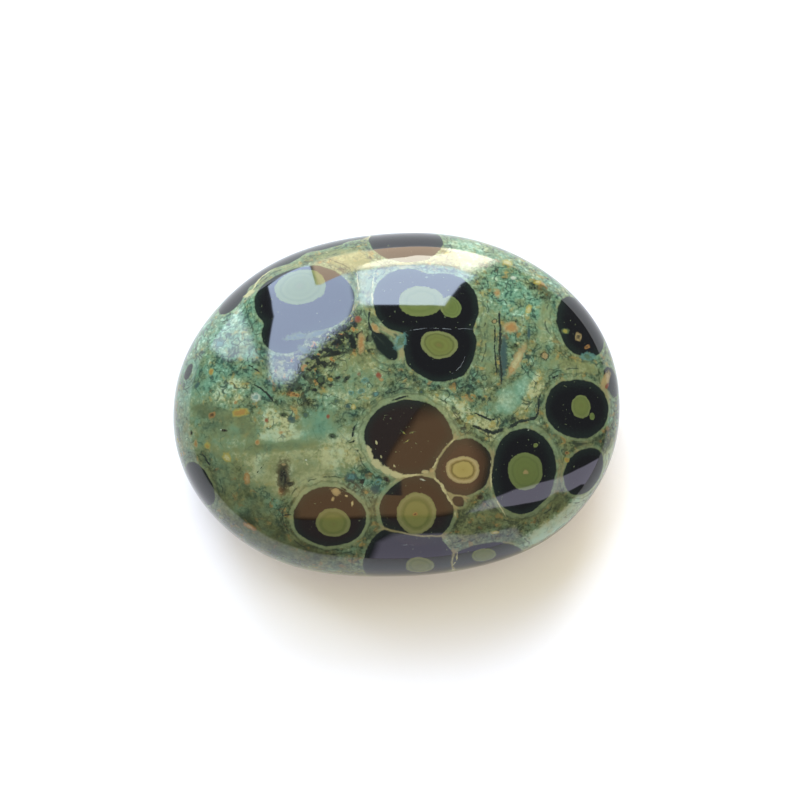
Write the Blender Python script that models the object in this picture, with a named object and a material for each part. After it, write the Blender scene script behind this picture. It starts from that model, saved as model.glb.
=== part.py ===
"""Tumbled kambaba jasper: one loose pebble of orbicular green stone, polished all over.

The stone is one solid. Seen from above it is an oval with one full shoulder and one flattened one,
as stones wear in a tumbler. Its crown is a smooth dome, higher at the left end than at the right, and
it rests on a small worn flat in the middle of its underside.

Frame: metres, +Z up, +X along the stone. The origin is under the middle of its box, on the flat.
"""

import math

import bmesh
import bpy
from mathutils import Vector

LENGTH = 0.0502
WIDTH = 0.0380
CROWN_HEIGHT = 0.0092
BELLY_DEPTH = 0.0091

# How square the outline and the upright section are: 2 is an ellipse, and more is fuller.
OUTLINE_FULLNESS = 2.15
SECTION_FULLNESS = 2.3

# Where the outline leaves the oval: direction and half width in degrees, anticlockwise from +X, and
# how far it swells (or, below zero, how far it is worn back) as a share of the oval's reach.
SHOULDERS = {
    "full left front shoulder": (233.0, 24.0, 0.030),
    "worn left back shoulder": (154.0, 24.0, -0.037),
    "broad back": (70.0, 33.0, 0.038),
    "right front shoulder": (317.0, 14.0, 0.012),
}

# The crown gains this share of its height at the left end, and loses it at the right end.
CROWN_TAPER = 0.16

# Depth worn off the lowest point of the belly, which leaves an oval flat about 13 mm long.
REST_FLAT_DEPTH = 0.00018

SIDES_ROUND = 92
BANDS_OVER = 38

# Corners of the mesh nearer than this to the level of the flat are moved onto it, to leave no slivers.
SNAP_DISTANCE = 0.00002

STONE_GREEN = (0.085, 0.115, 0.075, 1.0)
STONE_ROUGHNESS = 0.12


def clear_scene():
    for thing in list(bpy.data.objects):
        bpy.data.objects.remove(thing, do_unlink=True)


def polished_stone():
    """The dark green of the stone as a whole, with a tumbled polish."""
    material = bpy.data.materials.new("polished_stone")
    material.use_nodes = True
    shader = material.node_tree.nodes["Principled BSDF"]
    shader.inputs["Base Color"].default_value = STONE_GREEN
    shader.inputs["Roughness"].default_value = STONE_ROUGHNESS
    shader.inputs["Metallic"].default_value = 0.0
    return material


def outline_reach(angle, girth):
    """How far the stone reaches from its middle at an angle; the shoulders show only at the girth."""
    along = abs(math.cos(angle)) / (LENGTH / 2)
    across = abs(math.sin(angle)) / (WIDTH / 2)
    oval = (along ** OUTLINE_FULLNESS + across ** OUTLINE_FULLNESS) ** (-1 / OUTLINE_FULLNESS)
    swell = 0.0
    for direction, half_width, height in SHOULDERS.values():
        turn = angle - math.radians(direction)
        turn = math.atan2(math.sin(turn), math.cos(turn))
        swell += height * math.exp(-(turn / math.radians(half_width)) ** 2)
    return oval * (1 + swell * girth ** 2)


def stone_point(direction):
    """The point of the surface that a direction on the unit sphere goes to."""
    girth = math.hypot(direction.x, direction.y)
    angle = math.atan2(direction.y, direction.x)
    reach = outline_reach(angle, girth) * girth ** (2 / SECTION_FULLNESS)
    x = reach * math.cos(angle)
    y = reach * math.sin(angle)
    rise = min(abs(direction.z), 1.0) ** (2 / SECTION_FULLNESS)
    if direction.z < 0:
        return Vector((x, y, -BELLY_DEPTH * rise))
    taper = 1 - CROWN_TAPER * x / (LENGTH / 2)
    return Vector((x, y, CROWN_HEIGHT * taper * rise))


def wear_rest_flat(mesh):
    """Cut the lowest part of the belly off level, and close the cut with one flat face."""
    level = REST_FLAT_DEPTH - BELLY_DEPTH
    everything = list(mesh.verts) + list(mesh.edges) + list(mesh.faces)
    cut = bmesh.ops.bisect_plane(mesh, geom=everything, dist=SNAP_DISTANCE, plane_co=(0, 0, level),
                                 plane_no=(0, 0, -1), clear_outer=True)
    rim = [item for item in cut["geom_cut"] if isinstance(item, bmesh.types.BMEdge)]
    for edge in rim:
        for vert in edge.verts:
            vert.co.z = level
    bmesh.ops.holes_fill(mesh, edges=rim, sides=0)


def stand_on_origin(mesh):
    """Move the stone so that its box is centred over the origin and its flat lies at height zero."""
    columns = list(zip(*(vert.co for vert in mesh.verts)))
    middle_x = (min(columns[0]) + max(columns[0])) / 2
    middle_y = (min(columns[1]) + max(columns[1])) / 2
    bmesh.ops.translate(mesh, verts=mesh.verts, vec=(-middle_x, -middle_y, -min(columns[2])))


def make_stone(name):
    mesh = bmesh.new()
    bmesh.ops.create_uvsphere(mesh, u_segments=SIDES_ROUND, v_segments=BANDS_OVER, radius=1.0)
    for vert in mesh.verts:
        vert.co = stone_point(vert.co.normalized())
    wear_rest_flat(mesh)
    stand_on_origin(mesh)
    bmesh.ops.recalc_face_normals(mesh, faces=mesh.faces)
    data = bpy.data.meshes.new(name)
    mesh.to_mesh(data)
    mesh.free()
    data.shade_smooth()
    data.set_sharp_from_angle(angle=math.radians(30))
    data.materials.append(polished_stone())
    stone = bpy.data.objects.new(name, data)
    bpy.context.scene.collection.objects.link(stone)
    return stone


clear_scene()
make_stone("tumbled_stone")
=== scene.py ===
import math
import random

import bpy
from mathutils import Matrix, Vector


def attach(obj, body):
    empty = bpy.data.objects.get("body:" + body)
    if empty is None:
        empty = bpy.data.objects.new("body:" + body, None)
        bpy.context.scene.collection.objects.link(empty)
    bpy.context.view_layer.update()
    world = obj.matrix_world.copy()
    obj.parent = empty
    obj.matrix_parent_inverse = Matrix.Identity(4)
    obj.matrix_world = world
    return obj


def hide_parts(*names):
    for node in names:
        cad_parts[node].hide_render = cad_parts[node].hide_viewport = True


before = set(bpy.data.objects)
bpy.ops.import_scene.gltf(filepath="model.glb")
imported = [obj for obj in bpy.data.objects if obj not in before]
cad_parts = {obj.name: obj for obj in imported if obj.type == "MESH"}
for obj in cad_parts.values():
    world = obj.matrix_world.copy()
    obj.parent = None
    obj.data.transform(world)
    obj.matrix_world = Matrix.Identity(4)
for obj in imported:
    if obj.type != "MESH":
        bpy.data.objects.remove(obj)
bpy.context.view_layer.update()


# The view. The stone lies on a table and is seen from almost straight above, about 40 cm away. Its
# markings are placed below by the pixel of the 800 by 800 picture that shows them, as (across, down).
PICTURE_SIZE = 800
VIEW_HEIGHT_ANGLE = math.radians(84)
VIEW_DISTANCE = 0.42
VIEW_CENTRE = Vector((0.0004, 0.0005, 0.0085))
LENS_MM = 168.6
SENSOR_MM = 36.0
NEAREST_SEEN = 0.01

camera = bpy.data.objects.new("camera", bpy.data.cameras.new("camera"))
bpy.context.scene.collection.objects.link(camera)
bpy.context.scene.camera = camera
camera.data.lens = LENS_MM
camera.data.sensor_width = SENSOR_MM
camera.data.clip_start = NEAREST_SEEN
camera.rotation_mode = "QUATERNION"
towards_camera = Vector((0, -math.cos(VIEW_HEIGHT_ANGLE), math.sin(VIEW_HEIGHT_ANGLE)))
camera.location = VIEW_CENTRE + towards_camera * VIEW_DISTANCE
camera.rotation_quaternion = (-towards_camera).to_track_quat("-Z", "Y")


def sight_line(across, down):
    """The direction in which the camera looks through one pixel of the picture."""
    middle = PICTURE_SIZE / 2
    focal_length = LENS_MM / SENSOR_MM * PICTURE_SIZE
    line = Vector((across - middle, middle - down, -focal_length))
    return (camera.rotation_quaternion @ line).normalized()


# The stone's shape. One pebble, ground against others in a tumbling drum until it is a flattened oval
# with soft shoulders, then polished. It rests on a small flat that is worn on the middle of its belly.

# Sizes are in metres. A fullness of 2 makes an ellipse, and more is squarer. The crown gains its taper
# as a share of its height at the left end, and loses it at the right end.
SIZES = {
    "Length": 0.0502,
    "Width": 0.0380,
    "Crown height": 0.0092,
    "Belly depth": 0.0091,
    "Outline fullness": 2.15,
    "Section fullness": 2.3,
    "Crown taper": 0.16,
    "Rest flat depth": 0.00018,
}
# Direction and half width in degrees, anticlockwise from +X, and swell as a share of the reach there.
SHOULDERS = {
    "Full left front shoulder": (233.0, 24.0, 0.030),
    "Worn left back shoulder": (154.0, 24.0, -0.037),
    "Broad back": (70.0, 33.0, 0.038),
    "Right front shoulder": (317.0, 14.0, 0.012),
}
SPHERE_SUBDIVISIONS = 7


class Wire:
    """One socket of a node tree. Python's operators on it add the nodes that work them out."""

    def __init__(self, socket):
        self.socket = socket

    def node(self, kind, settings, sockets, result=0):
        """Add a node of any kind: its settings are made first, then its sockets get values or links."""
        tree = self.socket.id_data
        added = tree.nodes.new(kind)
        for name, value in settings.items():
            if name == "stops":
                ramp = added.color_ramp
                ramp.elements[0].position, ramp.elements[0].color = value[0]
                ramp.elements[1].position, ramp.elements[1].color = value[-1]
                for position, colour in value[1:-1]:
                    ramp.elements.new(position).color = colour
            else:
                setattr(added, name, value)
        for name, value in sockets.items():
            if isinstance(value, Wire):
                tree.links.new(value.socket, added.inputs[name])
            else:
                added.inputs[name].default_value = value
        return Wire(added.outputs[result])

    def parts(self):
        """All the outputs of the node that this one comes from."""
        return [Wire(output) for output in self.socket.node.outputs]

    def math(self, operation, *others):
        return self.node("ShaderNodeMath", {"operation": operation}, dict(enumerate((self, *others))))

    def vector(self, operation, other=(0, 0, 0), result=0):
        return self.node("ShaderNodeVectorMath", {"operation": operation}, {0: self, 1: other}, result)

    def scaled(self, factor):
        return self.node("ShaderNodeVectorMath", {"operation": "SCALE"}, {0: self, "Scale": factor})

    def __add__(self, other):
        return self.math("ADD", other)

    __radd__ = __add__

    def __mul__(self, other):
        return self.math("MULTIPLY", other)

    __rmul__ = __mul__

    def __sub__(self, other):
        return self.math("SUBTRACT", other)

    def __rsub__(self, other):
        return self.node("ShaderNodeMath", {"operation": "SUBTRACT"}, {0: other, 1: self})

    def __truediv__(self, other):
        return self.math("DIVIDE", other)

    def __rtruediv__(self, other):
        return self.node("ShaderNodeMath", {"operation": "DIVIDE"}, {0: other, 1: self})

    def __pow__(self, other):
        return self.math("POWER", other)

    def __neg__(self):
        return self.math("MULTIPLY", -1.0)

    def __abs__(self):
        return self.math("ABSOLUTE")

    def least(self, other):
        return self.math("MINIMUM", other)

    def most(self, other):
        return self.math("MAXIMUM", other)

    def rise(self, start, end):
        """0 up to start, 1 from end on, and a smooth slope between. It falls where start is the larger."""
        return self.node("ShaderNodeMapRange", {"interpolation_type": "SMOOTHSTEP"},
                         {"Value": self, "From Min": start, "From Max": end})

    def blend(self, under, over):
        """The colour under, covered by the colour over as far as this share says."""
        return self.node("ShaderNodeMix", {"data_type": "RGBA"}, {0: self, 6: under, 7: over}, 2)


pebble = bpy.data.node_groups.new("worn pebble", "GeometryNodeTree")
for name in [*SIZES, *SHOULDERS]:
    pebble.interface.new_socket(name, in_out="INPUT", socket_type="NodeSocketFloat")
pebble.interface.new_socket("Subdivisions", in_out="INPUT", socket_type="NodeSocketInt")
pebble.interface.new_socket("Finish", in_out="INPUT", socket_type="NodeSocketMaterial")
pebble.interface.new_socket("Stone", in_out="OUTPUT", socket_type="NodeSocketGeometry")
given = {socket.name: Wire(socket) for socket in pebble.nodes.new("NodeGroupInput").outputs if socket.name}
length = given["Length"]

ball = length.node("GeometryNodeMeshIcoSphere", {}, {"Subdivisions": given["Subdivisions"]})
direction = length.node("GeometryNodeInputPosition", {}, {})
ball_x, ball_y, ball_z = direction.node("ShaderNodeSeparateXYZ", {}, {0: direction}).parts()
girth = (ball_x * ball_x + ball_y * ball_y) ** 0.5
angle = ball_y.math("ARCTAN2", ball_x)
fullness = given["Outline fullness"]
along = abs(angle.math("COSINE")) / (length / 2)
across_stone = abs(angle.math("SINE")) / (given["Width"] / 2)
oval = (along ** fullness + across_stone ** fullness) ** (-1.0 / fullness)
swells = []
for name, (facing, half_width, _) in SHOULDERS.items():
    turn = angle - math.radians(facing)
    turn = turn.math("SINE").math("ARCTAN2", turn.math("COSINE")) / math.radians(half_width)
    swells.append(given[name] * (-(turn * turn)).math("EXPONENT"))
section_power = 2.0 / given["Section fullness"]
reach = oval * (sum(swells) * girth * girth + 1.0) * girth ** section_power
stone_x = reach * angle.math("COSINE")
stone_y = reach * angle.math("SINE")
rise = abs(ball_z).least(1.0) ** section_power
below = ball_z.math("LESS_THAN", 0.0)
taper = 1.0 - given["Crown taper"] * stone_x / (length / 2)
crown = given["Crown height"] * taper * (1.0 - below)
stone_z = rise * (crown - given["Belly depth"] * below)
flat_level = given["Rest flat depth"] - given["Belly depth"]
worn = stone_x.node("ShaderNodeCombineXYZ", {}, {0: stone_x, 1: stone_y, 2: stone_z.most(flat_level)})
stone = ball.node("GeometryNodeSetPosition", {}, {"Geometry": ball, "Position": worn})
_, lowest, highest = stone.node("GeometryNodeBoundBox", {}, {"Geometry": stone}).parts()[:3]
middle = lowest.vector("ADD", highest).vector("MULTIPLY", (-0.5, -0.5, 0.0))
shift = lowest.vector("MULTIPLY", (0.0, 0.0, -1.0)).vector("ADD", middle)
stone = stone.node("GeometryNodeSetPosition", {}, {"Geometry": stone, "Offset": shift})
stone = stone.node("GeometryNodeRealizeInstances", {}, {"Geometry": stone})
stone = stone.node("GeometryNodeSetShadeSmooth", {}, {"Geometry": stone})
stone = stone.node("GeometryNodeSetMaterial", {}, {"Geometry": stone, "Material": given["Finish"]})
pebble.links.new(stone.socket, pebble.nodes.new("NodeGroupOutput").inputs["Stone"])

jasper = bpy.data.materials.new("polished jasper")
jasper.use_nodes = True
polished_stone = bpy.data.objects.new("polished_stone", bpy.data.meshes.new("blank"))
bpy.context.scene.collection.objects.link(polished_stone)
wearing = polished_stone.modifiers.new("worn pebble", "NODES")
wearing.node_group = pebble
settings = {**SIZES, **{name: swell for name, (_, _, swell) in SHOULDERS.items()}}
settings.update({"Subdivisions": SPHERE_SUBDIVISIONS, "Finish": jasper})
for socket in pebble.interface.items_tree:
    if socket.in_out == "INPUT":
        wearing[socket.identifier] = settings[socket.name]
evaluated = polished_stone.evaluated_get(bpy.context.evaluated_depsgraph_get())
shaped = bpy.data.meshes.new_from_object(evaluated)
polished_stone.modifiers.clear()
polished_stone.data = shaped

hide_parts("tumbled_stone")
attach(polished_stone, "root")


# The rock's ground. Kambaba jasper is a green silica rock: fine sage, teal and olive grains that
# flowed round its orbs while it was still soft. The pattern runs through the whole rock, so it is
# worked out in space, in millimetres.
MM = 1000.0
NUMBER, VECTOR, COLOUR = "NodeSocketFloat", "NodeSocketVector", "NodeSocketColor"
# The light on the crown is this much brighter than what shows as white.
DAYLIGHT = 1.62


def seen(red, green, blue):
    """A colour as its levels on a screen in that light, from 0 to 255, as the values Blender mixes."""
    levels = [level / 255 for level in (red, green, blue)]
    linear = [v / 12.92 if v <= 0.04045 else ((v + 0.055) / 1.055) ** 2.4 for v in levels]
    return (*(value / DAYLIGHT for value in linear), 1.0)


def on_stone(across, down):
    """The point of the stone that one pixel shows, in millimetres, and the way its surface faces."""
    hit, point, facing, _ = polished_stone.ray_cast(camera.location, sight_line(across, down))
    if not hit:
        raise ValueError(f"pixel ({across}, {down}) doesn't show the stone")
    return point * MM, facing


def lengthways(across, down, lean):
    """The line along the surface that leans by so many degrees from level in the picture."""
    _, facing = on_stone(across, down)
    sight = sight_line(across, down)
    slope = math.radians(lean)
    line = camera.rotation_quaternion @ Vector((math.cos(slope), math.sin(slope), 0))
    return (line - sight * (line.dot(facing) / sight.dot(facing))).normalized()


def noise(place, blot, detail=2.0, roughness=0.5, result=0):
    """Chance from 0 to 1, about a half, in blots of this many millimetres. Result 1 is three of them."""
    return place.node("ShaderNodeTexNoise", {}, {"Vector": place, "Scale": 1.0 / blot, "Detail": detail,
                                                 "Roughness": roughness}, result)


def stirred(place, blot, reach):
    """The place, pushed to and fro by up to about a third of reach, as soft rock is."""
    push = noise(place, blot, detail=1.0, result=1).vector("SUBTRACT", (0.5, 0.5, 0.5))
    return push.scaled(reach).vector("ADD", place)


def step_of(name, inputs, results, work):
    """A node group for a step that is taken many times: its sockets by name and kind, and its work."""
    tree = bpy.data.node_groups.new(name, "ShaderNodeTree")
    for title, kind in inputs.items():
        tree.interface.new_socket(title, in_out="INPUT", socket_type=kind)
    for title, kind in results.items():
        tree.interface.new_socket(title, in_out="OUTPUT", socket_type=kind)
    given = [Wire(socket) for socket in tree.nodes.new("NodeGroupInput").outputs if socket.name]
    end = tree.nodes.new("NodeGroupOutput")
    for wire, socket in zip(work(*given), end.inputs):
        tree.links.new(wire.socket, socket)

    def take(place, *values):
        sockets = dict(zip(inputs, (place, *values)))
        return place.node("ShaderNodeGroup", {"node_tree": tree}, sockets).parts()

    return take


def oval_share(place, middle, pull, half_width):
    """How far out a place is, as a share of the half sizes of an oval body: 1 is its surface."""
    apart = place.vector("SUBTRACT", middle)
    pulled_in = pull.scaled(apart.vector("DOT_PRODUCT", pull, 1))
    return apart.vector("DISTANCE", pulled_in, 1) / half_width


OVAL = {"Place": VECTOR, "Middle": VECTOR, "Pull": VECTOR, "Half width": NUMBER}


def oval_about(middle, line, half_length, half_width):
    """The values of an oval's sockets after its place. Its pull brings its ends in, and makes it round."""
    return tuple(middle), tuple(line * math.sqrt(1 - half_width / half_length)), half_width


def oval_at(across, down, half_length, half_width, lean):
    """The same for an oval whose middle shows at a pixel."""
    if half_width > half_length:
        half_length, half_width, lean = half_width, half_length, lean + 90
    return oval_about(on_stone(across, down)[0], lengthways(across, down, lean), half_length, half_width)


def enter_zone(place, middle, pull, half_width, soft, wander, look_here, look):
    """Take on the look of one zone where a place lies in it. Wander makes the zone's edge uneven."""
    share = oval_share(place, middle, pull, half_width) + wander
    return [share.rise(soft + 1.0, 1.0 - soft).blend(look, look_here)]


bpy.context.view_layer.update()
nodes = jasper.node_tree.nodes
shader = nodes["Principled BSDF"]
place = Wire(nodes.new("ShaderNodeTexCoord").outputs["Object"]).scaled(MM)
flowing = stirred(stirred(place, blot=4.5, reach=0.8), blot=1.0, reach=0.24)
gritty = stirred(flowing, blot=0.32, reach=0.14)

# Each zone of the ground: across, down, half length and half width in millimetres, lean in degrees,
# softness of its edge, and its look: how teal it is instead of olive, how light, and how grainy.
ZONES = {
    "upper left": (214, 338, 6.5, 4.5, 50, 0.4, (0.85, 0.5, 1.0)),
    "left middle": (228, 369, 4.2, 2.0, 15, 0.4, (0.95, 0.36, 0.9)),
    "left edge": (195, 390, 3.4, 1.8, 80, 0.4, (0.75, 0.5, 0.6)),
    "teal by the pane": (258, 386, 2.6, 1.6, -30, 0.5, (0.9, 0.34, 0.8)),
    "cream grains": (229, 393, 1.9, 1.9, 0, 0.3, (0.3, 0.68, 1.0)),
    "lower left": (215, 440, 4.0, 2.4, 0, 0.5, (0.45, 0.48, 0.45)),
    "sage": (243, 466, 3.6, 2.4, 30, 0.5, (0.2, 0.76, 0.5)),
    "far lower left": (236, 502, 6.5, 3.6, -50, 0.5, (0.12, 0.3, 0.25)),
    "bottom left": (282, 545, 6.5, 2.4, -20, 0.5, (0.0, 0.22, 0.2)),
    "olive arc": (215, 413, 3.2, 0.8, -8, 0.35, (0.25, 0.3, 0.12)),
    "smooth by the arc": (226, 428, 2.8, 0.9, -8, 0.5, (0.5, 0.3, 0.2)),
    "olive arc's end": (246, 428, 2.2, 0.8, -62, 0.4, (0.15, 0.26, 0.12)),
    "smooth middle": (305, 441, 6.0, 1.9, 3, 0.5, (0.2, 0.98, 0.3)),
    "band over the oval": (283, 446, 4.6, 0.8, 4, 0.5, (0.1, 0.36, 0.12)),
    "pale oval": (297, 474, 5.2, 2.8, 0, 0.2, (0.0, 0.7, 0.2)),
    "mottled": (330, 350, 5.6, 3.6, 28, 0.4, (0.0, 0.3, 1.0)),
    "under the mottled": (316, 388, 4.2, 2.2, 0, 0.4, (0.2, 0.36, 1.0)),
    "green middle": (364, 371, 3.4, 2.0, -20, 0.4, (0.25, 0.44, 0.6)),
    "bubbly": (350, 392, 3.4, 1.4, 10, 0.4, (0.35, 0.52, 0.7)),
    "teal heart": (323, 427, 2.4, 1.8, 0, 0.6, (0.85, 0.45, 0.25)),
    "cream streaks": (347, 454, 3.2, 1.5, -10, 0.5, (0.0, 0.8, 0.5)),
    "teal pocket": (367, 482, 2.4, 1.8, -20, 0.4, (0.75, 0.36, 0.9)),
    "between the lower orbs": (373, 518, 3.2, 1.1, 90, 0.4, (0.2, 0.28, 0.35)),
    "right of the middle orb": (488, 330, 5.6, 0.9, -86, 0.3, (0.3, 0.48, 0.4)),
    "upper right": (515, 285, 6.0, 4.2, -30, 0.4, (0.8, 0.44, 1.0)),
    "right middle": (520, 345, 3.4, 2.2, 75, 0.4, (0.5, 0.4, 0.9)),
    "pale band": (547, 318, 3.6, 0.8, 82, 0.4, (0.15, 0.6, 0.3)),
    "under the middle orb": (455, 388, 5.4, 1.2, -5, 0.4, (0.5, 0.34, 0.9)),
    "teal band": (516, 396, 3.4, 1.3, 35, 0.4, (0.9, 0.66, 0.3)),
    "cream chain": (470, 417, 5.4, 1.2, -27, 0.35, (0.1, 0.66, 1.0)),
    "cream chain's end": (533, 393, 2.6, 0.8, 62, 0.4, (0.0, 0.72, 1.0)),
    "yellow band": (573, 366, 3.2, 0.7, -8, 0.4, (0.0, 0.6, 0.4)),
    "right olive": (592, 447, 3.4, 2.0, 15, 0.4, (0.0, 0.2, 0.5)),
    "under the tall orb": (478, 516, 3.6, 2.4, 0, 0.5, (0.0, 0.3, 0.4)),
    "under the low strip": (535, 506, 6.0, 1.8, 15, 0.5, (0.05, 0.28, 0.25)),
    "lower right rim": (560, 521, 6.0, 1.3, 38, 0.4, (0.6, 0.95, 0.4)),
    "right rim": (603, 468, 3.6, 0.9, 62, 0.4, (0.4, 1.0, 0.4)),
    "cream crumbs": (275, 420, 1.9, 1.2, -45, 0.4, (0.1, 0.9, 1.0)),
    "top middle": (347, 258, 2.8, 1.3, -8, 0.3, (0.0, 0.62, 0.25)),
    "top right edge": (480, 252, 5.0, 1.6, -12, 0.4, (0.6, 0.58, 0.9)),
    "back right shoulder": (502, 269, 3.0, 1.2, -30, 0.5, (0.7, 0.3, 0.9)),
    "right back edge": (540, 290, 2.2, 1.2, -40, 0.5, (0.35, 0.34, 0.9)),
    "between the upper orbs": (363, 295, 4.2, 1.0, 92, 0.3, (0.3, 0.52, 0.6)),
}
LOOK_BETWEEN_ZONES = (0.35, 0.4, 0.75, 1.0)
EDGE_WANDER = 0.9
look = LOOK_BETWEEN_ZONES
wander = noise(flowing, blot=1.6) * EDGE_WANDER - EDGE_WANDER / 2
zone_step = step_of("ground zone", {**OVAL, "Soft": NUMBER, "Wander": NUMBER, "Look here": COLOUR,
                                    "Look": COLOUR}, {"Look": COLOUR}, enter_zone)
for across, down, half_length, half_width, lean, soft, look_here in ZONES.values():
    oval = oval_at(across, down, half_length, half_width, lean)
    [look] = zone_step(gritty, *oval, soft, wander, (*look_here, 1.0), look)
tealness, light, grain, *_ = look.node("ShaderNodeSeparateColor", {}, {0: look}).parts()

OLIVE_TONES = (seen(58, 68, 38), seen(116, 125, 80), seen(168, 172, 122))
TEAL_TONES = (seen(44, 74, 60), seen(100, 140, 110), seen(158, 192, 162))
YELLOW = seen(156, 144, 76)
OCHRE = seen(150, 104, 58)
SOOT = seen(30, 36, 28)
WISP = seen(44, 60, 50)

# How far chance moves a grain's hue and its tone from what its zone says.
HUE_CHANCE = 2.2
HUE_OF_PATCHES = 1.6
FINE_CHANCE = 1.9
DEPTH_CHANCE = 1.3
TONE_OF_PATCHES = 0.7

fine = noise(place, blot=0.34, detail=3.0, roughness=0.6)
hues = noise(flowing, blot=0.9, roughness=0.55, result=1)
hue, depth, warmth, *_ = hues.node("ShaderNodeSeparateColor", {}, {0: hues}).parts()
patches = noise(flowing, blot=2.6, roughness=0.55, result=1)
greener, lighter, *_ = patches.node("ShaderNodeSeparateColor", {}, {0: patches}).parts()
teal_share = tealness + (hue - 0.5) * HUE_CHANCE * grain + (greener - 0.5) * HUE_OF_PATCHES
teal_share = teal_share.most(0.0).least(1.0)
tone = light + ((fine - 0.5) * FINE_CHANCE + (depth - 0.5) * DEPTH_CHANCE) * grain
tone = tone + (lighter - 0.5) * TONE_OF_PATCHES
dark_tone, mid_tone, pale_tone = (teal_share.blend(*pair) for pair in zip(OLIVE_TONES, TEAL_TONES))
colour = tone.rise(0.0, 0.5).blend(dark_tone, mid_tone)
colour = tone.rise(0.5, 1.0).blend(colour, pale_tone)

# Yellow stains the grainy olive. Ochre and soot lie only where it is dark.
yellowed = warmth.rise(0.56, 0.7) * grain * (1.1 - teal_share)
colour = yellowed.least(0.7).blend(colour, YELLOW)
dusky = light.rise(0.46, 0.34) * grain * (1.0 - tealness)
colour = (warmth.rise(0.6, 0.68) * dusky).blend(colour, OCHRE)
soot = noise(flowing, blot=0.75, roughness=0.6).rise(0.52, 0.44) * dusky
colour = soot.least(0.95).blend(colour, SOOT)

# Thin dark wisps follow the folds of the flow, and stop where the drift is low.
drift = noise(flowing, blot=1.3, roughness=0.6)
fold = abs(noise(flowing, blot=2.4, roughness=0.55) - 0.5)
wisps = fold.rise(0.02, 0.004) * drift.rise(0.42, 0.56) * grain
colour = wisps.least(0.8).blend(colour, WISP)


# The orbs. Colonies that grew as balls in the soft rock: near-black jasper, some of it brown, each with
# a pale rim, and most with a green eye in the middle. Where two were pressed together, the rim is a vein.

# A body is made of ovals, and an eye is one: across, down, half length and half width in millimetres,
# and lean in degrees. A rim has its width in millimetres and how pale it is, and an eye how tan it is
# and how strong its rings are.
ORBS = {
    "upper left": {"body": [(303, 298, 5.7, 4.3, 0), (284, 333, 2.7, 2.5, 0)], "rim": (0.3, 0.25),
                   "eyes": [(300, 286, 3.0, 2.3, 0, 0.0, 0.3)]},
    "upper middle": {"body": [(408, 300, 4.0, 3.9, 0), (446, 304, 3.8, 3.8, 0), (440, 345, 4.1, 4.1, 0)],
                     "rim": (0.3, 0.2),
                     "eyes": [(421, 301, 2.6, 1.75, 0, 0.1, 0.0), (451, 307, 1.15, 1.15, 0, 0.0, 0.4),
                              (439.5, 344, 2.0, 1.57, 0, 0.15, 1.0)]},
    "wedge": {"body": [(385, 345, 2.0, 0.9, -52)], "rim": (0.1, 0.0)},
    "top edge": {"body": [(406, 239, 4.1, 3.9, 0)], "rim": (0.3, 0.2)},
    "back left edge": {"body": [(234, 296, 2.6, 1.9, 50), (258, 273, 2.7, 2.1, 42), (288, 257, 2.7, 2.0, 26),
                                (319, 246, 2.9, 1.6, 14), (347, 239, 2.4, 1.1, 8)], "rim": (0.3, 0.3)},
    "upper right": {"body": [(583, 324, 3.9, 3.4, 90)], "rim": (0.2, 0.15)},
    "right": {"body": [(579, 408, 4.0, 3.3, 0)], "rim": (0.3, 0.5),
              "eyes": [(581, 406.5, 1.25, 1.25, 0, 0.1, 0.3), (591.7, 416.4, 0.36, 0.36, 0, 0.0, 0.0)]},
    "brown middle": {"body": [(408, 438, 4.85, 4.15, 0)], "rim": (0.9, 0.6), "brown": 0.35},
    "small brown": {"body": [(462.5, 467, 3.3, 3.1, 0)], "rim": (0.3, 0.6), "brown": 1.0,
                    "eyes": [(462, 470, 1.9, 1.57, 0, 1.0, 1.0)]},
    "tall right": {"body": [(524, 471.5, 4.9, 3.75, 88)], "rim": (0.7, 0.5),
                   "eyes": [(525.5, 470.5, 2.05, 2.0, 0, 0.05, 0.35), (537, 445.5, 0.3, 0.3, 0, 0.1, 0.0)]},
    "right low": {"body": [(585, 471, 2.9, 2.6, 40)], "rim": (0.3, 0.5)},
    "bottom middle": {"body": [(416.5, 512, 4.05, 4.0, 90)], "rim": (0.5, 0.6), "brown": 0.3,
                      "eyes": [(416.5, 514, 2.4, 2.2, 90, 0.35, 0.3)]},
    "bottom edge": {"body": [(408, 565, 5.6, 5.1, 90)], "rim": (0.3, 0.2),
                    "eyes": [(419, 566, 1.6, 1.5, 0, 0.2, 0.3)]},
    "bottom edge right": {"body": [(486, 559, 4.4, 2.5, 8)], "rim": (0.3, 0.2),
                          "eyes": [(484, 556, 1.5, 1.1, 0, 0.1, 0.3)]},
    "lower left": {"body": [(330, 518, 4.0, 3.6, 0)], "rim": (0.45, 0.7), "brown": 0.3,
                   "eyes": [(333, 523, 1.9, 1.7, 0, 0.25, 0.4)]},
    "left bottom edge": {"body": [(199, 484, 2.7, 2.3, -62)], "rim": (0.4, 0.1)},
    "dark red dot": {"body": [(458, 501, 0.68, 0.68, 0)], "rim": (0.3, 0.5), "brown": 0.8},
    "left speck": {"body": [(189, 371, 1.0, 0.7, 65)], "rim": (0.2, 0.1)},
    "right purple": {"body": [(612, 382, 1.9, 1.2, -70)], "rim": (0.2, 0.2)},
}
# How softly the ovals of a body run together, and how far brown fades in at its surface, in millimetres.
LOBE_SOFTNESS = 0.7
BROWN_FADE = 0.2


def outside_oval(place, one_focus, other_focus, half_length):
    """Millimetres outside an oval body. Its points' distances to its two foci add up to its length."""
    sum_of_both = place.vector("DISTANCE", one_focus, 1) + place.vector("DISTANCE", other_focus, 1)
    return [sum_of_both * 0.5 - half_length]


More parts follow.
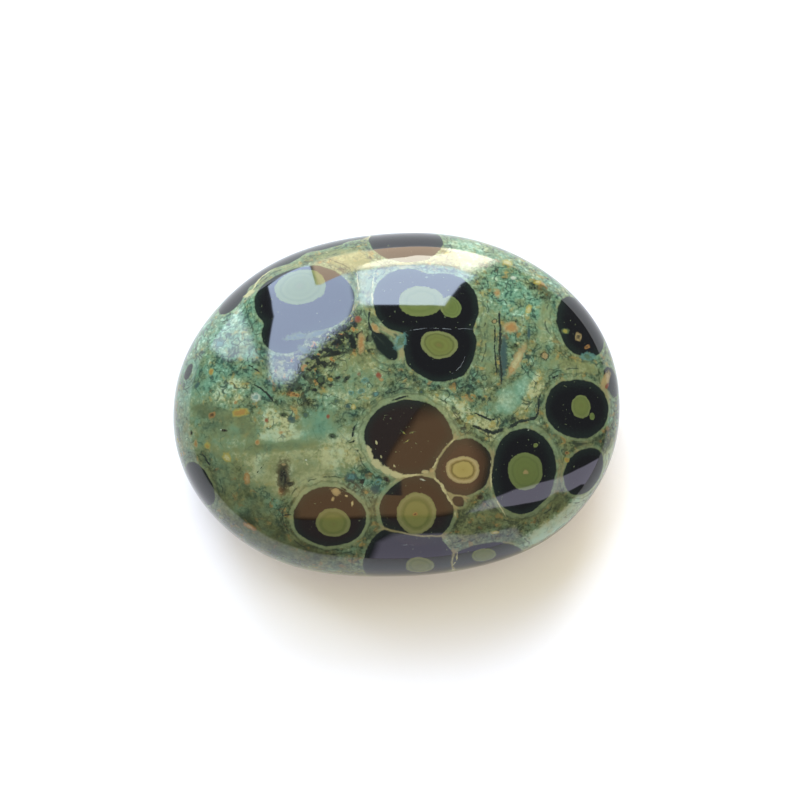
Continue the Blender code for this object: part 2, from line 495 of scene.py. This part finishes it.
def grow(outside, nearest, second, rim, rim_width, paleness):
    """Add one body to the distances to the nearest orb and the next one, and to the rims."""
    own_rim = (outside / rim_width).rise(1.0, 0.6) * paleness
    return [nearest.least(outside), second.least(nearest.most(outside)), rim.most(own_rim)]


def open_eye(place, middle, pull, half_width, eye, tan, ringed, tan_share, ring_share):
    """Add one eye: how far out of it a place is, as a share of its size, and its own looks there."""
    share = oval_share(place, middle, pull, half_width)
    here = share.rise(1.3, 1.2)
    return [eye.least(share), tan.most(here * tan_share), ringed.most(here * ring_share)]


oval_step = step_of("oval body", {"Place": VECTOR, "One focus": VECTOR, "Other focus": VECTOR,
                                  "Half length": NUMBER}, {"Outside": NUMBER}, outside_oval)
GROWN = {"Nearest": NUMBER, "Second": NUMBER, "Rim": NUMBER}
grow_step = step_of("one more orb", {"Outside": NUMBER, **GROWN, "Rim width": NUMBER, "Paleness": NUMBER},
                    GROWN, grow)
SEEN_EYE = {"Eye": NUMBER, "Tan": NUMBER, "Ringed": NUMBER}
eye_step = step_of("one more eye", {**OVAL, **SEEN_EYE, "Tan share": NUMBER, "Ring share": NUMBER},
                   SEEN_EYE, open_eye)


def body_of(middle, line, half_length, half_width):
    """Millimetres outside the oval body that has this middle and lies along this line."""
    focus = line * math.sqrt(max(half_length ** 2 - half_width ** 2, 0.0))
    return oval_step(gritty, tuple(middle + focus), tuple(middle - focus), half_length)[0]


def browned(brown, body, share):
    """Let brown into one more body, by this share."""
    stain = body.rise(BROWN_FADE, -BROWN_FADE) * share
    return stain if brown is None else brown.most(stain)


FAR = 900.0
grown = [FAR, FAR, 0.0]
eyes = [FAR, 0.0, 0.0]
brown = None
taken = []
for orb in ORBS.values():
    body = None
    for across, down, half_length, half_width, lean in orb["body"]:
        middle, _ = on_stone(across, down)
        lobe = body_of(middle, lengthways(across, down, lean), half_length, half_width)
        body = lobe if body is None else body.math("SMOOTH_MIN", lobe, LOBE_SOFTNESS)
        taken.append((middle, (half_length + half_width) / 2))
    grown = grow_step(body, *grown, *orb["rim"])
    if "brown" in orb:
        brown = browned(brown, body, orb["brown"])
    for across, down, half_length, half_width, lean, tan_share, ring_share in orb.get("eyes", []):
        oval = oval_at(across, down, half_length, half_width, lean)
        eyes = eye_step(gritty, *oval, *eyes, tan_share, ring_share)

# The camera doesn't see the rest of the stone, so its orbs are placed there by chance. Each is looked
# for in a direction from the stone's middle, which has a turn about the upright and a lift. It stays
# where its surface faces away from the camera, and clear of the others by a share of both half sizes.
HIDDEN_ORBS = 18
HIDDEN_SEED = 7
HALF_SIZES = (2.6, 5.4)
LOWEST_LIFT, HIGHEST_LIFT = -1.0, 0.35
SEEN_FROM = 0.12
CLOSEST = 0.9
BROWN_SHARE_OF_ORBS = 0.4
EYED_SHARE_OF_ORBS = 0.75
OUTSIDE_STONE = 0.1
STONE_MIDDLE = Vector((0, 0, 0.009))
draw = random.Random(HIDDEN_SEED)
made = 0
while made < HIDDEN_ORBS:
    turn = draw.uniform(0, 2 * math.pi)
    lift = draw.uniform(LOWEST_LIFT, HIGHEST_LIFT)
    sideways = math.sqrt(1 - lift ** 2)
    outwards = Vector((sideways * math.cos(turn), sideways * math.sin(turn), lift))
    size = draw.uniform(*HALF_SIZES)
    _, point, facing, _ = polished_stone.ray_cast(outwards * OUTSIDE_STONE + STONE_MIDDLE, -outwards)
    middle = point * MM
    seen_by_camera = facing.dot(towards_camera) > SEEN_FROM
    if seen_by_camera or any((middle - other).length < (size + wide) * CLOSEST for other, wide in taken):
        continue
    taken.append((middle, size))
    made += 1
    line = facing.orthogonal().normalized()
    body = body_of(middle, line, size, size * draw.uniform(0.8, 1.0))
    grown = grow_step(body, *grown, draw.uniform(0.2, 0.8), draw.uniform(0.1, 0.6))
    if draw.random() < BROWN_SHARE_OF_ORBS:
        brown = browned(brown, body, draw.uniform(0.3, 1.0))
    if draw.random() < EYED_SHARE_OF_ORBS:
        eye_size = size * draw.uniform(0.32, 0.52)
        oval = oval_about(middle, line, eye_size, eye_size * draw.uniform(0.8, 1.0))
        eyes = eye_step(gritty, *oval, *eyes, draw.choice((0.1, 0.2, 0.8)), draw.uniform(0.2, 0.9))

# Between two orbs that touch, the ground is a vein of about this width in millimetres.
VEIN_WIDTH = 0.13
nearest, second, rim = grown
eye, tan, ringed = eyes
outside = nearest.most(drift * VEIN_WIDTH - (second - nearest) * 0.5)

# Round each orb lie its pale rim, one fine dark line, and ripples that fade out into the ground.
RIM = seen(126, 142, 100)
VEIN = seen(146, 138, 94)
LINE = seen(40, 50, 40)
between = (second - nearest).rise(0.8, 0.2) * outside.rise(0.5, 0.2)
rim_share = (rim.most(outside.rise(0.3, 0.1) * 0.25) * (fine * 0.7 + 0.65)).most(between * 0.8).least(1.0)
colour = rim_share.blend(colour, between.blend(RIM, VEIN))
LINE_DISTANCE = 0.75
RIPPLE_REACH = 2.2
line = abs(outside - LINE_DISTANCE - drift * 0.5).rise(0.12, 0.03)
line = line * drift.rise(0.46, 0.56) * outside.rise(0.2, 0.5)
colour = (line * 0.7).blend(colour, LINE)
ripples = (outside * 8.0 + drift * 7.0).math("SINE").rise(0.4, 1.0) * outside.rise(RIPPLE_REACH, 0.5)
colour = (ripples * outside.rise(0.15, 0.4) * 0.35).blend(colour, LINE)

# The bodies themselves, a little greener towards their skin, with a few painted glints: pale specks
# where tiny nicks in the polish would catch the light.
BLACK = seen(12, 14, 15)
BROWN = seen(58, 44, 34)
DEEP_GREEN = seen(28, 42, 34)
body_colour = (outside.rise(-1.1, 0.0) * 0.6).blend(brown.blend(BLACK, BROWN), DEEP_GREEN)
# Painted glints: sparse pale specks on the bodies, standing in for light caught by tiny nicks.
painted_glints = noise(place, blot=0.3, detail=0.0).rise(0.79, 0.84)
body_colour = (painted_glints * 0.4).blend(body_colour, RIM)
colour = outside.rise(0.06, -0.1).blend(colour, body_colour)

# The eyes grew in rings. Each ring's place is a share of the eye's size.
EYE_RINGS = [(0.0, seen(104, 88, 50)), (0.1, seen(98, 96, 50)), (0.2, seen(84, 96, 46)),
             (0.36, seen(96, 110, 52)), (0.52, seen(88, 100, 48)), (0.66, seen(106, 118, 60)),
             (0.76, seen(70, 84, 42)), (0.86, seen(104, 116, 62)), (1.0, seen(96, 108, 66))]
TAN_RINGS = [(0.0, seen(128, 118, 62)), (0.1, seen(146, 136, 72)), (0.55, seen(152, 142, 80)),
             (0.66, seen(92, 82, 40)), (0.74, seen(132, 120, 72)), (0.86, seen(160, 150, 102)),
             (1.0, seen(134, 124, 84))]
PLAIN_EYE = seen(92, 108, 56)
ragged = eye + (fine - 0.5) * 0.08
green_eye = ringed.blend(PLAIN_EYE, ragged.node("ShaderNodeValToRGB", {"stops": EYE_RINGS}, {0: ragged}))
tan_eye = ragged.node("ShaderNodeValToRGB", {"stops": TAN_RINGS}, {0: ragged})
in_eye = ragged.rise(1.03, 0.97) * outside.rise(0.1, 0.0)
colour = in_eye.blend(colour, tan.blend(green_eye, tan_eye))


# The small marks. Grains, stains, bubbles and hairline cracks of other minerals, which lie in the green
# rock and are ground flush with it, with two small pits painted dark and a few painted glints where pits
# and nicks catch the light. They are colour alone, like everything else in the stone.
CREAM = seen(172, 170, 122)
TAN = seen(160, 142, 94)
RUST = seen(152, 112, 62)
RED = seen(126, 72, 52)
PALE = seen(176, 186, 162)
SLATE = seen(56, 78, 74)
PITCH = seen(24, 30, 26)
BARK = seen(66, 56, 38)
MOSS = seen(74, 92, 58)
GOLD = seen(158, 148, 66)
SEA = seen(88, 130, 118)
GREY = seen(92, 98, 98)
# Flecks of each skin and heart: across, down, half length and half width in millimetres, and lean.
FLECKS = {
    "tan and rust": (TAN, RUST, [
        (196, 444, 0.3, 0.4, 0), (256.5, 442, 0.28, 0.28, 0), (281, 431, 0.35, 0.25, 0),
        (281, 491, 0.42, 0.5, 0), (362, 343, 0.45, 1.1, 0), (376, 328, 0.6, 0.3, -50),
        (498, 294, 0.35, 0.55, 0), (511, 328, 1, 0.7, 20), (525, 471, 0.3, 0.25, 0),
    ]),
    "bark and pitch": (BARK, PITCH, [
        # The flecks at (191.5, 433) and (225, 429.5) are two small pits, painted dark in place of their
        # hollows.
        (191.5, 433, 0.3, 0.22, 60), (225, 429.5, 0.5, 0.17, -5), (284, 477, 0.8, 1.95, 0),
        (290, 484, 0.5, 0.45, 0), (386, 479, 0.45, 0.25, -30), (481, 496, 0.4, 0.3, 0),
        (516.5, 321, 0.17, 0.15, 0),
    ]),
    "gold and cream": (GOLD, CREAM, [
        (227, 457, 0.5, 0.5, 0), (353.5, 406, 0.25, 0.4, 0), (494, 533, 0.5, 0.2, 0),
        (506, 262, 0.6, 0.45, 0), (530, 308, 0.5, 0.35, 60), (538, 283, 0.5, 0.3, 0),
    ]),
    "tan and cream": (TAN, CREAM, [
        (347.5, 495.5, 0.22, 0.14, -30), (353.5, 504, 0.36, 0.14, 70), (517, 360, 2, 0.5, 62),
    ]),
    "rust and tan": (RUST, TAN, [
        (235, 402, 0.3, 0.2, 60), (247, 478, 0.35, 0.8, 0), (250, 527, 0.8, 0.4, -20),
        (380.5, 379, 0.25, 0.2, 0), (512, 369, 0.35, 0.3, 0), (538, 543, 0.4, 0.15, 10),
    ]),
    "moss and pitch": (MOSS, PITCH, [
        (276, 400, 0.4, 0.25, 0), (283, 414, 0.5, 0.35, -30), (334, 436, 0.45, 0.32, 0),
        (421, 392.5, 0.4, 0.35, 0), (516, 345, 0.35, 0.3, 0),
    ]),
    "slate and slate": (SLATE, SLATE, [
        (197, 386, 0.45, 0.3, 60), (290.5, 418.5, 0.42, 0.38, 0), (349, 405, 0.3, 0.26, 0),
        (376, 488, 0.5, 0.45, 0), (503.5, 357, 2.6, 0.42, 88), (530, 333, 0.7, 0.2, 90),
    ]),
    "pitch and tan": (PITCH, TAN, [
        (495, 322, 0.4, 0.3, 40), (546, 356, 0.5, 0.4, -40),
    ]),
    "pale specks and painted glints": (PALE, PALE, [
        # Some of these dots are painted glints: the one at (222, 429) on the edge of the pit beside it, and
        # the one at (580.5, 388.5) on a black orb.
        (222, 429, 0.14, 0.1, 0), (306, 460, 0.15, 0.12, 0), (423, 480, 0.4, 0.1, -20),
        (513, 278, 0.4, 0.3, 0), (515, 495, 0.16, 0.14, 0), (529.5, 429, 0.13, 0.1, 0),
        (580.5, 388.5, 0.13, 0.12, 0),
    ]),
    "tan and tan": (TAN, TAN, [
        (333, 500, 0.3, 0.17, 60), (336, 491.5, 0.55, 0.42, -20), (431, 470.5, 0.3, 0.24, 0),
        (606, 380, 1.3, 0.5, 70),
    ]),
    "red and red": (RED, RED, [
        (265, 419, 0.25, 0.2, 40), (329, 416, 0.25, 0.25, 0), (358, 319, 0.4, 0.45, 30),
        (358, 373, 0.28, 0.35, 0), (378.5, 374.5, 0.3, 0.35, 20), (607, 387, 0.5, 0.2, 60),
    ]),
    "moss and gold": (MOSS, GOLD, [
        (403, 432, 0.5, 0.12, -40), (407, 441, 0.4, 0.1, 30), (414, 432, 0.6, 0.12, 10),
        (564, 330, 0.5, 0.3, 20),
    ]),
    "sea and moss": (SEA, MOSS, [
        (351, 391, 0.3, 0.28, 0), (360.5, 390.5, 0.35, 0.32, 0), (364.5, 380, 0.42, 0.42, 0),
        (378, 481, 0.35, 0.3, 0), (400, 341, 0.6, 0.9, -30), (588, 356, 1, 0.5, 0),
    ]),
    "tan and pitch": (TAN, PITCH, [
        (284, 464, 0.2, 0.16, 0), (577, 336.5, 0.45, 0.4, 0),
    ]),
    "rust and bark": (RUST, BARK, [
        (213, 415, 0.5, 0.3, 20), (416, 514, 0.34, 0.2, 10), (566, 453, 0.25, 0.2, 0),
        (587, 346, 0.4, 0.25, 30),
    ]),
    "gold and rust": (GOLD, RUST, [
        (208, 446, 0.5, 0.35, 0), (212, 372, 0.4, 0.3, 80), (241, 412, 0.9, 0.45, 10),
        (330, 379, 0.4, 0.25, 0), (566, 460, 0.3, 0.25, 0),
    ]),
    "slate and sea": (SLATE, SEA, [
        (221, 343, 0.75, 0.7, 0), (352, 476, 0.7, 0.5, 0), (375, 394.5, 0.36, 0.3, 0),
    ]),
    "pale and sea": (PALE, SEA, [
        (255, 397, 0.6, 0.5, 0),
    ]),
    "cream and tan": (CREAM, TAN, [
        (369, 450.5, 0.26, 0.24, 0), (424.5, 471.5, 0.34, 0.24, 0),
    ]),
    "cream and cream": (CREAM, CREAM, [
        (247, 296, 0.5, 0.3, 20), (251, 292, 0.45, 0.35, 0),
        (303, 459, 0.16, 0.12, -50), (307, 463, 0.2, 0.12, -50), (376, 443.5, 0.24, 0.1, -70),
        (381, 457, 0.24, 0.1, -60), (393.5, 464.5, 0.3, 0.14, -50),
    ]),
    "pitch and moss": (PITCH, MOSS, [
        (320, 380, 0.5, 0.45, 0),
    ]),
    "pitch and pitch": (PITCH, PITCH, [
        (314.5, 389, 0.35, 0.2, 0), (331, 385, 0.4, 0.25, 30), (333, 355, 1.4, 0.32, 10),
        (337, 343, 0.5, 0.4, 0), (338, 377, 0.4, 0.2, 10), (345, 488, 0.4, 0.15, -20),
        (347.5, 378, 0.5, 0.3, 50), (353, 341, 0.4, 1.1, 8), (363, 480, 0.45, 0.28, 70),
    ]),
    "moss and slate": (MOSS, SLATE, [
        (297, 337, 1.5, 0.45, 12), (318, 334, 1.1, 0.35, 20), (306, 350, 0.9, 0.4, -30),
        (305.5, 414, 0.45, 0.42, 0), (338, 400, 0.52, 0.42, 0), (421, 393, 0.3, 0.25, 0),
    ]),
}


def spread_fleck(place, middle, pull, half_width, so_far):
    """Add one fleck: how far out of the nearest one a place is, as a share of its size."""
    return [so_far.least(oval_share(place, middle, pull, half_width))]


fleck_step = step_of("fleck", {**OVAL, "So far": NUMBER}, {"So far": NUMBER}, spread_fleck)
# Where a fleck's skin and heart fade in, as shares of its size. Chance makes them ragged and gritty.
SKIN_EDGE = (1.25, 0.75)
HEART_EDGE = (0.8, 0.4)
fleck_edge = (fine - 0.5) * 1.5 + (drift - 0.5) * 0.8
grit = fine.rise(0.3, 0.6) * 0.4 + 0.5
for skin, heart, flecks in FLECKS.values():
    off_fleck = FAR
    for fleck in flecks:
        [off_fleck] = fleck_step(gritty, *oval_at(*fleck), off_fleck)
    off_fleck = off_fleck + fleck_edge
    colour = (off_fleck.rise(*SKIN_EDGE) * grit).blend(colour, skin)
    colour = (off_fleck.rise(*HEART_EDGE) * grit).blend(colour, heart)

# A stroke runs through pixels of the picture, each with its half width there in millimetres. Each of
# its stretches is a thin fleck that overlaps the next.
STROKES = {
    "dark": (LINE, [
        [(498.5, 309, 0.06), (499.5, 330, 0.16), (500, 352, 0.16), (502, 381, 0.1)],
        [(493.5, 325, 0.08), (495, 350, 0.1), (497, 373, 0.08)],
        [(473, 428, 0.1), (483, 431, 0.22), (493, 433, 0.24), (505, 429, 0.22), (519, 421, 0.18),
         (530, 419, 0.18), (537, 417, 0.2), (539, 408, 0.18), (539, 398, 0.14), (544, 388, 0.12),
         (552, 380, 0.12), (561, 375, 0.1), (572, 373, 0.08)],
        [(468, 409, 0.08), (478, 416, 0.14), (490, 421, 0.14), (500, 420, 0.08)],
        [(369, 305, 0.08), (369, 322, 0.14), (374, 333, 0.12), (384, 343, 0.08)],
        [(395, 399.6, 0.12), (406.5, 397, 0.12)],
        [(355.5, 425, 0.1), (353.5, 431, 0.12), (353, 436.5, 0.12)],
        [(350.5, 442.4, 0.14), (355.5, 441, 0.12)],
        [(232, 365, 0.12), (234, 370.4, 0.12), (245, 371.4, 0.12)],
        [(249, 366.3, 0.12), (262, 373.5, 0.08)],
        [(252, 385, 0.08), (262, 389, 0.14), (275, 401, 0.12)],
        [(268.5, 503, 0.1), (269, 509.5, 0.1), (275, 511, 0.1), (283, 515, 0.08), (291, 514, 0.06)],
        [(256.5, 475, 0.08), (263, 466, 0.06)],
        [(203, 455, 0.08), (213, 468, 0.12)],
    ]),
    "cream": (CREAM, [
        [(366, 448, 0.22), (372, 460, 0.36), (381, 467, 0.44), (390, 473, 0.42), (401, 476, 0.24),
         (416, 475, 0.1)],
        [(433, 478, 0.14), (440, 484, 0.16), (447, 494, 0.18), (452, 506, 0.12), (454, 516, 0.08)],
        [(430, 471, 0.08), (439, 457, 0.09), (452, 441, 0.07)],
        [(357, 275, 0.06), (359, 290, 0.08), (351, 319, 0.06)],
        [(374, 274, 0.07), (371, 290, 0.09), (371, 306, 0.07)],
        [(244, 296, 0.12), (253, 290, 0.18), (262, 277, 0.12), (272, 270, 0.1)],
        [(284, 258, 0.1), (301, 250.5, 0.1), (326, 252.5, 0.12)],
        [(489, 456, 0.07), (491.5, 472, 0.08), (491, 489, 0.1), (503, 513, 0.07)],
        [(457, 553, 0.1), (455, 560, 0.12), (451, 566, 0.08)],
    ]),
    "grey": (GREY, [
        [(409, 331, 0.05), (430, 327.6, 0.05), (452, 327.4, 0.05), (470, 328, 0.04)],
        [(466, 356, 0.04), (461, 366, 0.04), (452, 373, 0.04)],
        [(436, 541.5, 0.05), (446, 540, 0.06), (456, 541, 0.08)],
        [(404, 546, 0.05), (415, 545, 0.06)],
    ]),
}
STRETCH_OVERLAP = 1.3
for stroke_colour, paths in STROKES.values():
    off_stroke = FAR
    for path in paths:
        for (across, down, width), (next_across, next_down, next_width) in zip(path, path[1:]):
            start, _ = on_stone(across, down)
            end, _ = on_stone(next_across, next_down)
            stretch = end - start
            half_width = (width + next_width) / 2
            half_length = max(stretch.length / 2 * STRETCH_OVERLAP, half_width)
            oval = oval_about((start + end) / 2, stretch.normalized(), half_length, half_width)
            [off_stroke] = fleck_step(gritty, *oval, off_stroke)
    colour = (off_stroke + (fine - 0.5) * 1.2).rise(*SKIN_EDGE).blend(colour, stroke_colour)


# The polish. The whole stone is tumbled with finer and finer grit until it shines like wet glass. The
# orbs take the highest shine, and the grainy ground between them keeps very slight pits.
WAVE_SIZE = 7.0
WAVE_HEIGHT = 0.02
PIT_SIZE = 0.28
PIT_DEPTH = 0.006
ORB_ROUGHNESS = 0.04
GROUND_ROUGHNESS = 0.01
GRAIN_ROUGHNESS = 0.03
JASPER_IOR = 1.54
off_orb = 1.0 - outside.rise(0.05, -0.05)
waves = noise(place, blot=WAVE_SIZE, detail=1.0) * WAVE_HEIGHT
wavy = place.node("ShaderNodeBump", {}, {"Strength": 1.0, "Distance": 1.0 / MM, "Height": waves})
pits = noise(place, blot=PIT_SIZE, roughness=0.6) * PIT_DEPTH
pitted_here = off_orb * (grain * 0.8 + 0.1)
pitted = place.node("ShaderNodeBump", {}, {"Strength": pitted_here, "Distance": 1.0 / MM, "Height": pits,
                                           "Normal": wavy})
roughness = ORB_ROUGHNESS + off_orb * (grain * GRAIN_ROUGHNESS + GROUND_ROUGHNESS)
links = jasper.node_tree.links
links.new(colour.socket, shader.inputs["Base Color"])
links.new(roughness.socket, shader.inputs["Roughness"])
links.new(pitted.socket, shader.inputs["Normal"])
shader.inputs["IOR"].default_value = JASPER_IOR


# The table. A plain matt white top that the stone lies on, and that shines back on its sides. It is so
# wide that its edge is out of every view. It belongs to the picture, and isn't a piece of the part.
TABLE_HALF = 3.0
TABLE_WHITE = (0.86, 0.86, 0.86, 1)
TABLE_ROUGHNESS = 0.9
table_corners = [(x * TABLE_HALF, y * TABLE_HALF, 0) for x, y in ((-1, -1), (1, -1), (1, 1), (-1, 1))]
table_mesh = bpy.data.meshes.new("table")
table_mesh.from_pydata(table_corners, [], [(0, 1, 2, 3)])
table = bpy.data.objects.new("table", table_mesh)
bpy.context.scene.collection.objects.link(table)
matt_white = bpy.data.materials.new("matt white")
matt_white.use_nodes = True
matt = matt_white.node_tree.nodes["Principled BSDF"]
matt.inputs["Base Color"].default_value = TABLE_WHITE
matt.inputs["Roughness"].default_value = TABLE_ROUGHNESS
matt.inputs["Specular IOR Level"].default_value = 0.0
table_mesh.materials.append(matt_white)


# The light. Soft cards stand round the table, where the polish mirrors them to the camera: panes of
# daylight, a warm ceiling, and the wall in front. Each is placed by the pixels that it shows at.
CARD_DISTANCE = 1.0

# Glow in red, green and blue, the share of the card from its middle that glows in full, and corners.
CARDS = {
    "right pane": ((8.0, 9.5, 12.2), 0.97, [
        (354, 272), (374, 268), (400, 265), (430, 264), (455, 267), (476, 275), (462, 284), (445, 306),
        (415, 307), (374, 306), (358, 306)]),
    "left pane": ((6.0, 7.2, 9.8), 0.92, [
        (267, 286), (288, 271), (313, 263), (321, 281), (353, 272), (356, 300), (350, 320), (322, 346),
        (304, 358), (298, 374), (290, 386), (272, 384), (268, 350), (271, 332), (273, 316), (270, 300)]),
    "side pane": ((4.6, 5.3, 6.2), 0.86, [
        (240, 306), (208, 348), (226, 360), (262, 362), (253, 335)]),
    "warm rim": ((16.0, 14.6, 12.2), 0.8, [
        (330, 262), (372, 261), (400, 258), (430, 253), (447, 246), (470, 246), (490, 251), (508, 261),
        (490, 268), (474, 276), (455, 268), (430, 265), (400, 266), (374, 269), (352, 272)]),
    "tan strip": ((6.6, 5.0, 3.7), 0.93, [
        (308, 261), (345, 249), (380, 243), (440, 243), (480, 252), (440, 259), (400, 260), (372, 264),
        (345, 275), (317, 288)]),
    "low strip": ((2.3, 2.2, 2.8), 0.95, [
        (482, 501.6), (494, 497.5), (514, 488), (538, 483), (556, 479), (577, 470), (592, 462),
        (603.5, 454.7), (606, 468), (596, 484), (582, 484), (567, 491), (556, 492.4), (543, 498.6),
        (522, 504), (492, 508), (465, 512)]),
    "right rim": ((3.6, 3.8, 3.8), 0.7, [
        (508, 553), (524, 543), (546, 527), (566, 510), (584, 491), (598, 468), (606, 444), (608, 460),
        (600, 480), (591, 495), (580, 508), (567, 521), (553, 533), (540, 542), (526, 549)]),
    "front rim": ((1.5, 1.42, 1.85), 0.9, [
        (366, 560), (374, 542), (390, 532), (440, 532), (470, 534), (517, 526), (526, 538), (505, 550),
        (470, 562), (400, 570)]),
    "brown ceiling": ((1.5, 0.9, 0.44), 0.8, [
        (284, 487), (352, 482), (372, 494), (385, 497), (402, 497), (400, 480), (384, 462), (402, 432),
        (424, 402), (452, 392), (478, 425), (490, 462), (480, 498), (460, 513), (440, 517), (380, 518),
        (288, 518)]),
}


def mirrored(across, down):
    """Where a card stands that one pixel shows as a reflection in the polish."""
    point, facing = on_stone(across, down)
    sight = sight_line(across, down)
    away = sight - facing * (2 * sight.dot(facing))
    return point / MM + away * CARD_DISTANCE


def light_card(name, glow, full_share, corners):
    """A glowing card whose light fades out towards its edge. The camera sees it only as a reflection."""
    centre = sum(corners, Vector()) / len(corners)
    inner = [centre + (corner - centre) * full_share for corner in corners]
    count = len(corners)
    border = [(i, i + count, (i + 1) % count + count, (i + 1) % count) for i in range(count)]
    mesh = bpy.data.meshes.new(name)
    mesh.from_pydata([*inner, *corners], [], [tuple(range(count)), *border])
    fade = mesh.attributes.new("glow", "FLOAT", "POINT")
    fade.data.foreach_set("value", [1.0] * count + [0.0] * count)
    material = bpy.data.materials.new(name)
    material.use_nodes = True
    tree = material.node_tree
    tree.nodes.remove(tree.nodes["Principled BSDF"])
    share = Wire(tree.nodes.new("ShaderNodeAttribute").outputs["Fac"])
    share.socket.node.attribute_name = "glow"
    emission = share.node("ShaderNodeEmission", {}, {"Color": (*glow, 1.0), "Strength": share})
    tree.links.new(emission.socket, tree.nodes["Material Output"].inputs["Surface"])
    mesh.materials.append(material)
    card = bpy.data.objects.new(name, mesh)
    card.visible_camera = False
    bpy.context.scene.collection.objects.link(card)
    return card


for name, (glow, full_share, corners) in CARDS.items():
    light_card(name, glow, full_share, [mirrored(*corner) for corner in corners])

# The room's soft light from above, which falls on everything but isn't mirrored.
SOFT_LIGHT = (1.62, 1.57, 1.08)
SOFT_LIGHT_HEIGHT = 2.2
SOFT_LIGHT_CORNERS = ((-1.6, -2.4), (-1.6, 1.2), (2.6, 1.2), (2.6, -2.4))
soft_corners = [Vector((x, y, SOFT_LIGHT_HEIGHT)) for x, y in SOFT_LIGHT_CORNERS]
soft_light = light_card("soft light", SOFT_LIGHT, 0.7, soft_corners)
soft_light.visible_glossy = False

# The room round it lights the table softly, looks dim in the polish, and pale behind the table's edge.
ROOM_LIGHT = (0.32, 0.32, 0.35, 1)
ROOM_IN_POLISH = (0.2, 0.2, 0.22, 1)
ROOM_BEHIND = (0.95, 0.96, 0.97, 1)
world = bpy.data.worlds.new("dim room")
bpy.context.scene.world = world
world.use_nodes = True
rays = world.node_tree.nodes.new("ShaderNodeLightPath").outputs
room_glow = Wire(rays["Is Glossy Ray"]).blend(ROOM_LIGHT, ROOM_IN_POLISH)
room_glow = Wire(rays["Is Camera Ray"]).blend(room_glow, ROOM_BEHIND)
world.node_tree.links.new(room_glow.socket, world.node_tree.nodes["Background"].inputs["Color"])
bpy.context.scene.view_settings.view_transform = "Standard"
